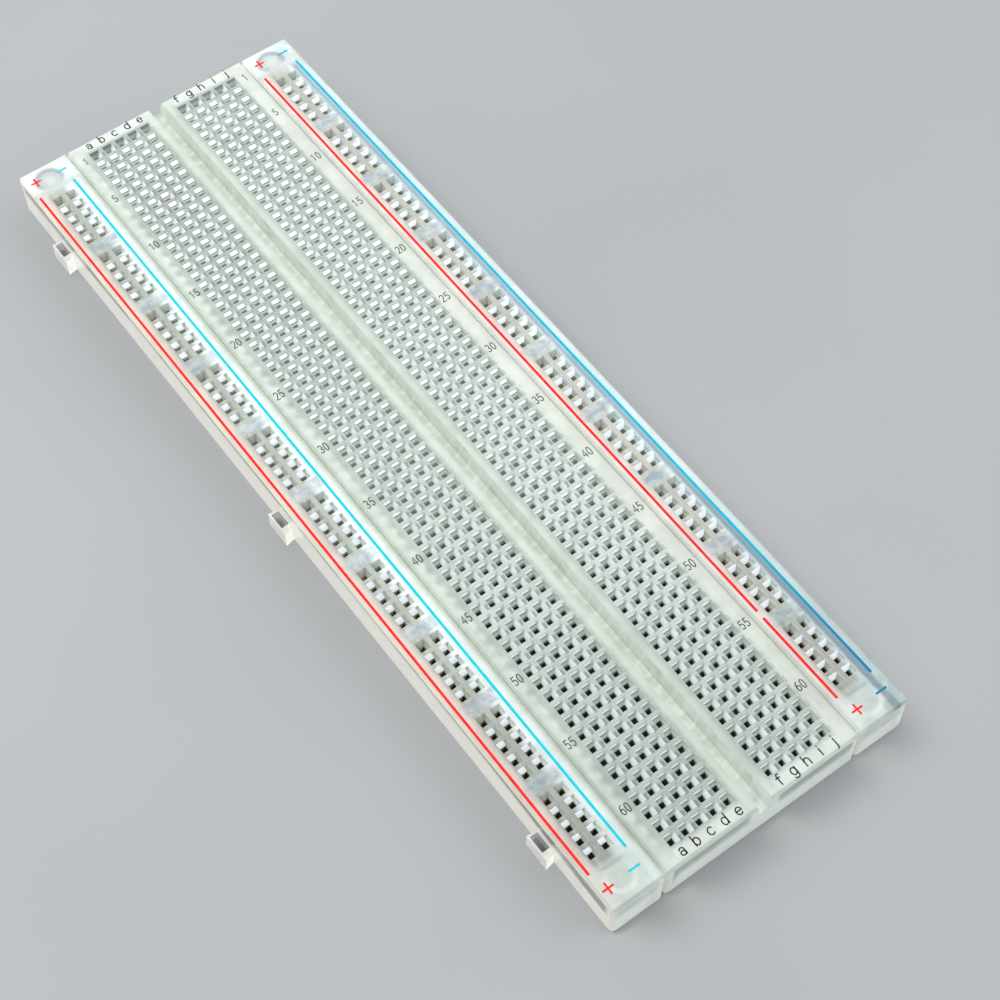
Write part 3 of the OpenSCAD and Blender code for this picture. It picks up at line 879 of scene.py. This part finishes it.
def stroke(bm, points, width, closed=False, height=INK_HEIGHT, cap=7):
    """A raised ribbon along points, in mm. An open one has round ends of cap points each."""
    path = [Vector(point) for point in points]
    count = len(path)

    def side_normal(start, end):
        along = (end - start).normalized()
        return Vector((-along.y, along.x))

    normals = [side_normal(path[i], path[(i + 1) % count])
               for i in range(count if closed else count - 1)]
    left, right = [], []
    for i in range(count):
        before = normals[i - 1 if closed else max(i - 1, 0)]
        after = normals[min(i, len(normals) - 1)]
        mitre = before + after
        mitre = mitre.normalized() if mitre.length > 1e-6 else before
        reach = width / 2 * min(1.8, 1.0 / max(0.35, mitre.dot(before)))
        left.append(path[i] + mitre * reach)
        right.append(path[i] - mitre * reach)

    def ring(outline, z):
        return [bm.verts.new((p.x * MM, p.y * MM, z * MM)) for p in outline]

    if closed:
        left_low, right_low = ring(left, 0.0), ring(right, 0.0)
        left_high, right_high = ring(left, height), ring(right, height)
        around = (left_low, left_high, right_high, right_low)
        for i in range(count):
            j = (i + 1) % count
            for k in (1, 0, 2, 3):
                a, b = around[k], around[(k + 1) % 4]
                bm.faces.new((a[i], a[j], b[j], b[i]))
        return

    def round_end(centre, start):
        return [centre + Matrix.Rotation(-math.pi * (j + 1) / (cap + 1), 2) @ (start - centre)
                for j in range(cap)]

    outline = (left + round_end(path[-1], left[-1]) + right[::-1]
               + round_end(path[0], right[0]))
    low, high = ring(outline, 0.0), ring(outline, height)
    for i in range(len(low)):
        j = (i + 1) % len(low)
        bm.faces.new((low[i], low[j], high[j], high[i]))
    # top and bottom as strips between the two sides, so thin bends triangulate well
    for verts, step in ((high, -1), (low, 1)):
        lefts = verts[:count]
        end = verts[count:count + cap]
        rights = verts[count + cap:2 * count + cap][::-1]
        start = verts[2 * count + cap:]
        for i in range(count - 1):
            bm.faces.new((lefts[i], lefts[i + 1], rights[i + 1], rights[i])[::step])
        bm.faces.new(([lefts[-1]] + end + [rights[-1]])[::step])
        bm.faces.new(([rights[0]] + start + [lefts[0]])[::step])


def arc(cx, cy, rx, ry, start, end, steps=14):
    """Points on an ellipse from start to end, in degrees."""
    angles = [math.radians(start + (end - start) * i / steps) for i in range(steps + 1)]
    return [(cx + rx * math.cos(a), cy + ry * math.sin(a)) for a in angles]


def oval(cx, cy, rx, ry, steps=28):
    return arc(cx, cy, rx, ry, 0, 360, steps)[:-1]


# Plain single-stroke shapes. Letters sit on y=0 with an x-height of 1 and ascenders to 1.45.
# Each entry is a list of (points, closed).
STEM = ([(0.0, 1.45), (0.0, 0.0)], False)
RIGHT_STEM = ([(0.72, 1.45), (0.72, 0.0)], False)
BOWL = (oval(0.36, 0.5, 0.36, 0.5), True)
GLYPHS = {
    "a": [(arc(0.34, 0.68, 0.32, 0.32, 160, 0) + [(0.66, 0.0)], False),
          (oval(0.32, 0.29, 0.31, 0.29), True)],
    "b": [STEM, BOWL],
    "c": [(arc(0.40, 0.5, 0.40, 0.5, 45, 315, 22), False)],
    "d": [RIGHT_STEM, BOWL],
    "e": [([(0.02, 0.52), (0.76, 0.52)] + arc(0.39, 0.5, 0.38, 0.5, 4, 318, 24), False)],
    "f": [(arc(0.46, 1.15, 0.24, 0.30, 60, 180, 8) + [(0.22, 0.0)], False),
          ([(0.0, 0.97), (0.50, 0.97)], False)],
    "g": [([(0.72, 1.0), (0.72, -0.10)] + arc(0.38, -0.10, 0.34, 0.32, 0, -155, 12), False),
          (oval(0.36, 0.52, 0.36, 0.48), True)],
    "h": [STEM, (arc(0.34, 0.62, 0.34, 0.38, 178, 0, 12) + [(0.68, 0.0)], False)],
    "i": [([(0.0, 1.0), (0.0, 0.0)], False), ([(0.0, 1.36), (0.0, 1.42)], False)],
    "j": [([(0.22, 1.0), (0.22, -0.12)] + arc(0.0, -0.12, 0.22, 0.30, 0, -80, 7), False),
          ([(0.22, 1.36), (0.22, 1.42)], False)],
    "0": [(oval(0.36, 0.70, 0.34, 0.70, 32), True)],
    "1": [([(0.08, 1.10), (0.38, 1.40), (0.38, 0.0)], False)],
    "2": [(arc(0.36, 1.02, 0.33, 0.37, 165, -35) + [(0.04, 0.0), (0.72, 0.0)], False)],
    "3": [(arc(0.34, 1.04, 0.31, 0.35, 150, -80)
           + arc(0.34, 0.36, 0.35, 0.36, 80, -150, 16), False)],
    "4": [([(0.54, 0.0), (0.54, 1.40), (0.0, 0.42), (0.74, 0.42)], False)],
    "5": [([(0.64, 1.40), (0.12, 1.40), (0.07, 0.76)]
           + arc(0.34, 0.46, 0.34, 0.44, 125, -145, 18), False)],
    "6": [(arc(0.62, 0.50, 0.58, 0.92, 95, 178, 10)
           + arc(0.37, 0.44, 0.33, 0.43, 180, 540, 24), False)],
}
# Glyph widths; the digits all have the default.
DIGIT_WIDTH = 0.72
WIDTHS = {"a": 0.66, "c": 0.74, "e": 0.77, "f": 0.5, "h": 0.68, "i": 0.0, "j": 0.22}


def put_text(bm, text, x, y, size, width, middle=0.5, track=0.26, wide=1.0):
    """Text centred on x, with the height middle * size on y. size is the x-height."""
    widths = [WIDTHS.get(char, DIGIT_WIDTH) for char in text]
    pen = -(sum(widths) * wide + track * (len(text) - 1)) / 2
    for char, advance in zip(text, widths):
        for points, closed in GLYPHS[char]:
            placed = [(x + (pen + px * wide) * size, y + (py - middle) * size)
                      for px, py in points]
            stroke(bm, placed, width, closed)
        pen += advance * wide + track


def print_mark(name, bm, material, body):
    """Lays the strokes in bm on the top face as an object that rides on body."""
    mesh = bpy.data.meshes.new(name)
    bmesh.ops.recalc_face_normals(bm, faces=bm.faces)
    bm.to_mesh(mesh)
    bm.free()
    obj = bpy.data.objects.new(name, mesh)
    scene.collection.objects.link(obj)
    mesh.transform(Matrix.Translation((0, 0, TOP)))
    mesh.materials.append(material)
    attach(obj, body)


bm = bmesh.new()
for letter, x in zip("abcdefghij", COLUMNS):
    for y, size in ((-81.15, 1.20), (81.20, 1.14)):
        put_text(bm, letter, x + 0.05, y, size, width=0.21)
print_mark("column_letters", bm, DARK, "terminal_block")

bm = bmesh.new()
for row in (1, *range(5, 61, 5)):
    for x in (-16.38, 16.12):
        put_text(bm, str(row), x + (0.25 if row == 1 else 0.0), (32 - row) * PITCH - 0.20,
                 size=1.08, width=0.15, middle=0.70, track=0.27, wide=0.78)
print_mark("row_numbers", bm, DARK, "terminal_block")

LINE_WIDTH = 0.44
RED_START, RED_END = -75.95, 76.05
CHIP_Y, CHIP_HALF = -58.9, 0.86                      # the right red line is broken here
SIGN_HALF = 0.86
# side, spans of the red line along Y, blue ink, x of red line, blue line, plus and minus,
# shift of the far signs along X
RAIL_PRINTS = (
    ("left", ((RED_START, RED_END),), BLUE_LEFT, -26.52, -19.82, -25.58, -20.76, 0.25),
    ("right", ((RED_START, CHIP_Y - CHIP_HALF), (CHIP_Y + CHIP_HALF, RED_END)), BLUE_RIGHT,
     19.01, 25.76, 20.12, 24.94, 0.0),
)
for side, spans, blue_ink, red_x, blue_x, plus_x, minus_x, far_shift in RAIL_PRINTS:
    body = side + "_rail"
    bm = bmesh.new()
    for start, end in spans:
        stroke(bm, [(red_x, start), (red_x, end)], LINE_WIDTH, cap=5)
    for x, y in ((plus_x, -79.2), (plus_x + far_shift, 79.6)):
        # one bar is slightly higher, so that the crossing bars' tops don't coincide
        stroke(bm, [(x - SIGN_HALF, y), (x + SIGN_HALF, y)], 0.32, height=0.021, cap=3)
        stroke(bm, [(x, y - 0.88), (x, y + 0.88)], 0.32, cap=3)
    print_mark(side + "_plus_print", bm, RED, body)
    bm = bmesh.new()
    stroke(bm, [(blue_x, -75.7), (blue_x, 76.3)], LINE_WIDTH, cap=5)
    for x, y in ((minus_x, -79.0), (minus_x + far_shift, 79.5)):
        stroke(bm, [(x - SIGN_HALF, y), (x + SIGN_HALF, y)], 0.34, cap=3)
    print_mark(side + "_minus_print", bm, blue_ink, body)

# ---------------------------------------------------------------- stage, in metres
FLOOR_HALF, FLOOR_Z = 3.0, -0.00002
floor_material = floor_paint("floor_pale")
floor_mesh = bpy.data.meshes.new("floor")
floor_mesh.from_pydata([(sx * FLOOR_HALF, sy * FLOOR_HALF, FLOOR_Z)
                        for sx, sy in ((-1, -1), (1, -1), (1, 1), (-1, 1))],
                       [], [(0, 1, 2, 3)])
floor = bpy.data.objects.new("floor", floor_mesh)
scene.collection.objects.link(floor)
floor_mesh.materials.append(floor_material)

world = bpy.data.worlds.new("studio")
scene.world = world
world.use_nodes = True
background = world.node_tree.nodes["Background"]
background.inputs["Color"].default_value = (0.95, 0.97, 1.0, 1)
background.inputs["Strength"].default_value = 0.62


def area_light(name, location, size, power, color):
    """A square light aimed at the origin."""
    light = bpy.data.lights.new(name, "AREA")
    light.shape = "RECTANGLE"
    light.size = light.size_y = size
    light.energy = power
    light.color = color
    obj = bpy.data.objects.new(name, light)
    scene.collection.objects.link(obj)
    obj.location = location
    obj.rotation_mode = "QUATERNION"
    obj.rotation_quaternion = (-Vector(location)).to_track_quat("-Z", "Y")


area_light("key", location=(-0.45, 0.55, 0.85), size=0.6, power=8.0, color=(1.0, 0.99, 0.97))
area_light("fill", location=(0.7, -0.3, 0.5), size=0.7, power=3.0, color=(0.96, 0.98, 1.0))

# ---------------------------------------------------------------- camera and render
lens = bpy.data.cameras.new("camera")
camera = bpy.data.objects.new("camera", lens)
scene.collection.objects.link(camera)
lens.sensor_width = 36.0
lens.lens = 75.0455
lens.clip_start, lens.clip_end = 0.01, 10.0
lens.shift_x, lens.shift_y = -0.0005, 0.0005
camera.rotation_mode = "XYZ"
camera.location = (-0.09830751, -0.15865552, 0.28064615)
camera.rotation_euler = [math.radians(a) for a in (32.03425593, 0.74482486, -36.45738144)]
scene.camera = camera

scene.view_settings.view_transform = "Standard"
scene.view_settings.look = "None"
scene.cycles.max_bounces = 16
scene.cycles.transmission_bounces = 16
scene.cycles.transparent_max_bounces = 16
